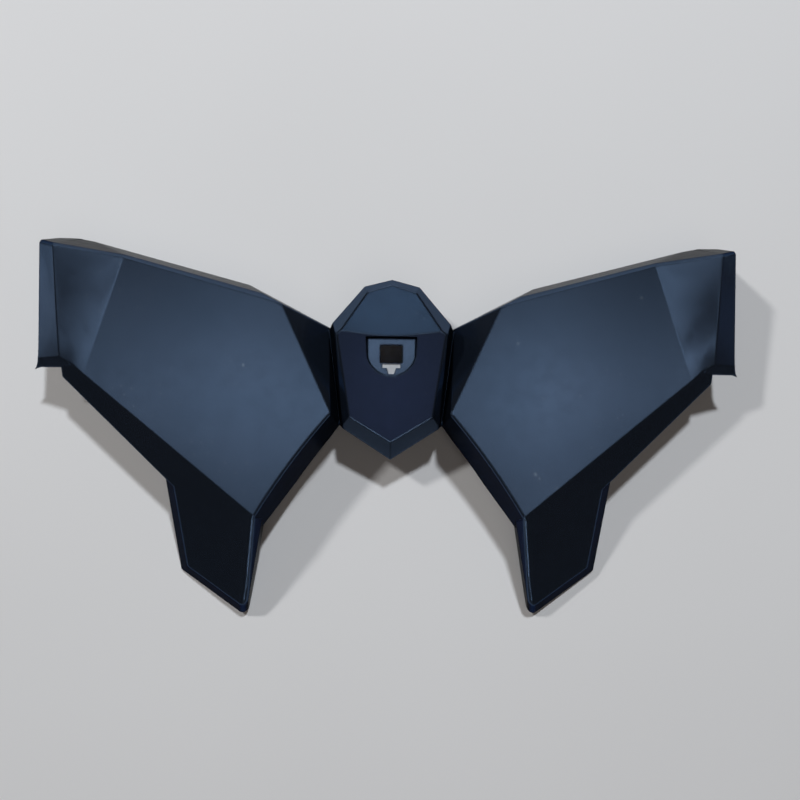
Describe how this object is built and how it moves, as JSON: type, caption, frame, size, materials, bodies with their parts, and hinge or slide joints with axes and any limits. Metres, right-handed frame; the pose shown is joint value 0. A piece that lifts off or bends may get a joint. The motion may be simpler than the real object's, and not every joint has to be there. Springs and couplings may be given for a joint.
{
  "type": "glovebox cover",
  "caption": "Wide faceted winged cover moulding for a scooter glovebox, with downward legs and a centre shield that carries a recessed pad with a square latch hole.",
  "frame": {"origin": "middle of the footprint on the surface the cover lies on", "axes": "+X to the right along the wings, +Y towards the top edge and the shield's apex, +Z out of the show face"},
  "size_m": [0.3542, 0.1946, 0.0454],
  "materials": {
    "blue_paint": "satin dark metallic blue"
  },
  "bodies": {
    "root": {"glovebox_cover": "blue_paint"}
  },
  "joints": []
}
